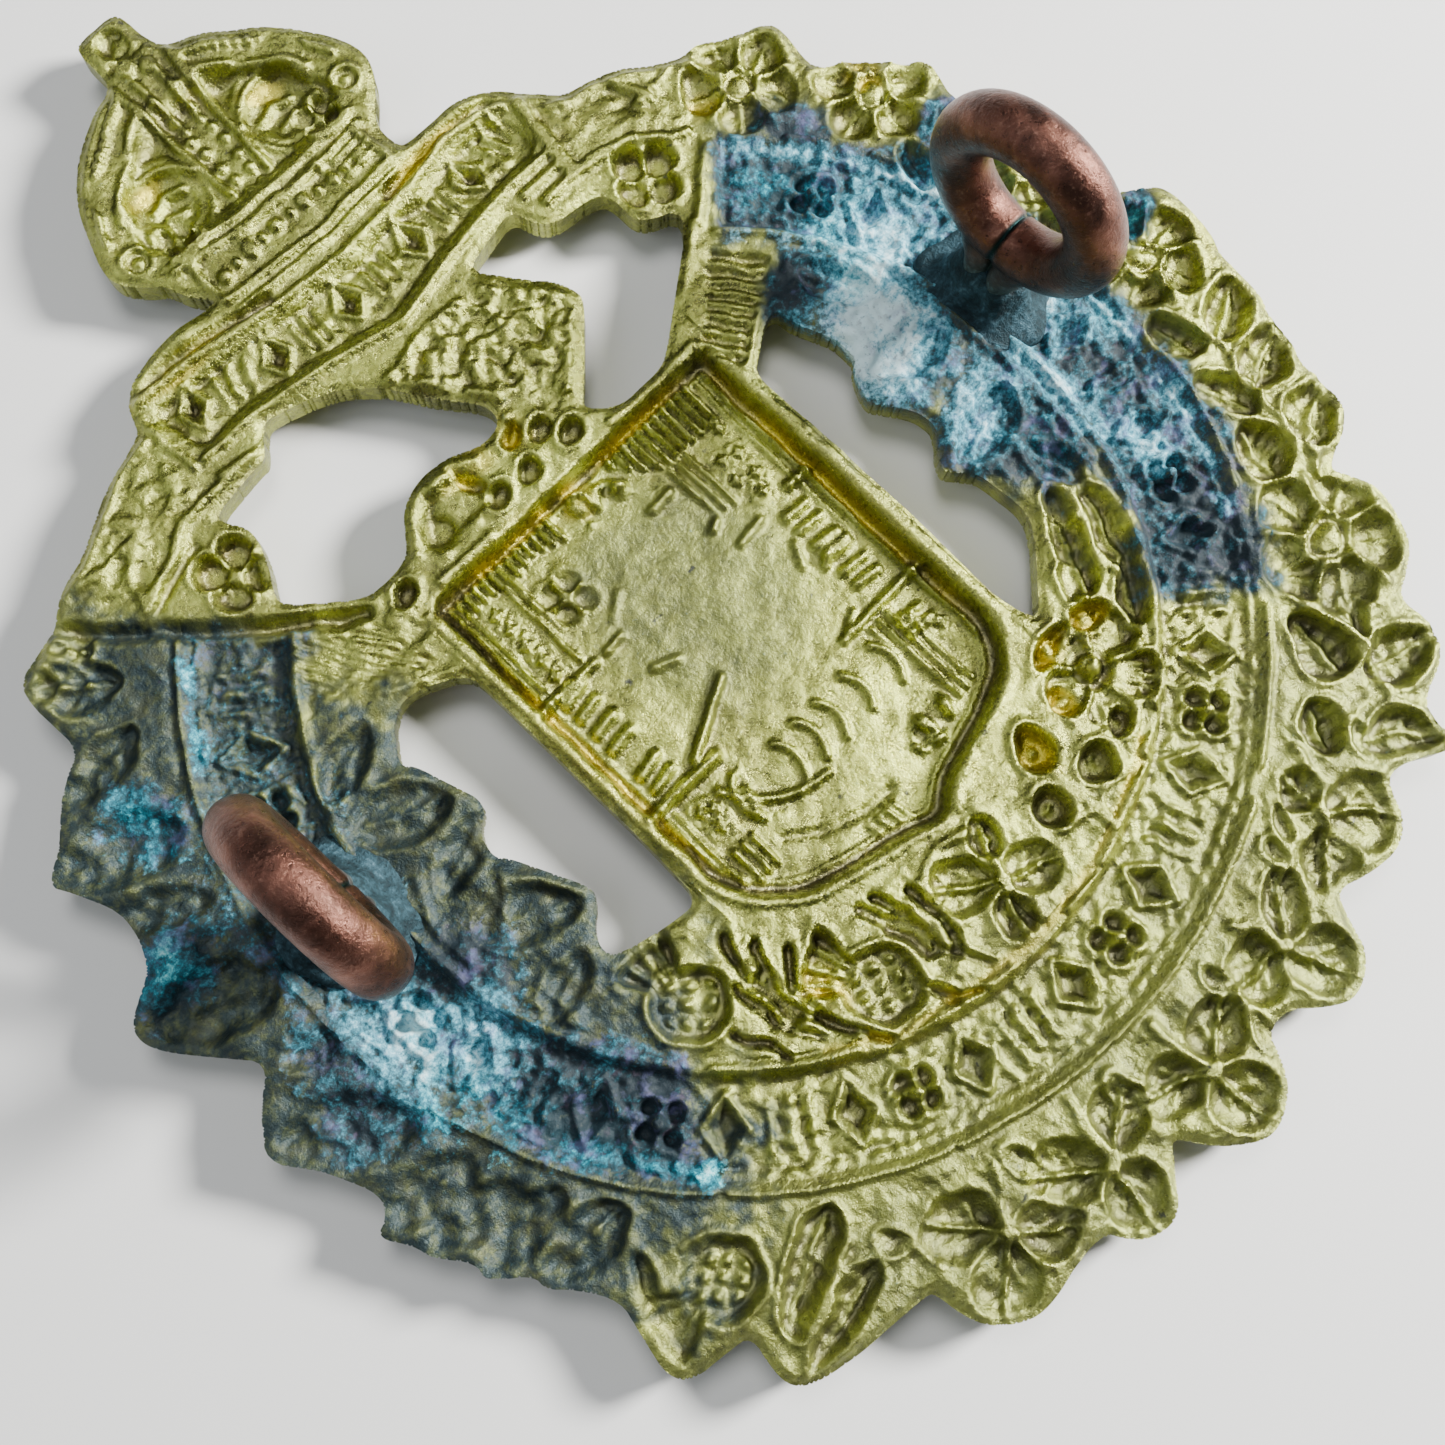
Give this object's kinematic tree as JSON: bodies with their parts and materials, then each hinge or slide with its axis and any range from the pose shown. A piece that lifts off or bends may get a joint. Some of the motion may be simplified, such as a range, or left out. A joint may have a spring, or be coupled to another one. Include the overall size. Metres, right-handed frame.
{
  "type": "cap badge",
  "caption": "Struck brass cap badge, seen from its hollow back: crown over a round band with a shield inside and a wreath outside, with copper wire loops for a split pin.",
  "frame": {"origin": "middle of the badge's outline, on the surface that the badge lies on with its face down", "axes": "+Y towards the crown, +Z out of the badge's back along the loops, +X to the right as the back is seen"},
  "size_m": [0.0409, 0.0502, 0.0114],
  "materials": {
    "brass_plate": "old struck brass, olive to gold, with blue-green corrosion round the loops",
    "copper_wire": "brown copper wire with a dull shine",
    "braze_metal": "dark brazing metal under blue-green corrosion"
  },
  "bodies": {
    "root": {"struck_plate": "brass_plate", "loop_left": "copper_wire", "loop_right": "copper_wire", "braze_left": "braze_metal", "braze_right": "braze_metal"}
  },
  "joints": []
}
